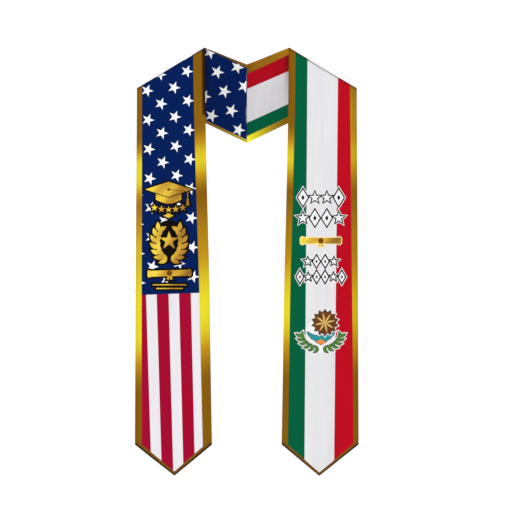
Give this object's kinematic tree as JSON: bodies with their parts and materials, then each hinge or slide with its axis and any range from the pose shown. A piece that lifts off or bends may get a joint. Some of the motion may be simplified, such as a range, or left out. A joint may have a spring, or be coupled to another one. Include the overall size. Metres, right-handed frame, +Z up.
{
  "type": "graduation stole",
  "caption": "Printed satin graduation stole in its worn form: two front panels with V-shaped tails, slanted shoulder folds and a mitred chevron behind the neck.",
  "frame": {"origin": "top of the centre back seam, on the side that lies against the back of the neck", "axes": "+Z up along the hanging panels, +X to the viewer's right, and the front of the panels faces -Y"},
  "size_m": [0.416, 0.0666, 0.7968],
  "materials": {
    "starred_satin": "satin polyester, printed with white stars on navy and with red and white stripes below",
    "tricolour_satin": "satin polyester, printed with lengthwise stripes of green, white and red",
    "gold_satin": "gold satin trim that shades from brown-gold to bright yellow along its length"
  },
  "bodies": {
    "root": {"left_panel": "starred_satin", "left_neck_strip": "starred_satin", "left_outer_trim": "gold_satin", "left_inner_trim": "gold_satin", "left_tail_trim": "gold_satin", "left_neck_trim": "gold_satin", "left_nape_trim": "gold_satin", "right_panel": "tricolour_satin", "right_neck_strip": "tricolour_satin", "right_outer_trim": "gold_satin", "right_inner_trim": "gold_satin", "right_tail_trim": "gold_satin", "right_neck_trim": "gold_satin", "right_nape_trim": "gold_satin"}
  },
  "joints": []
}
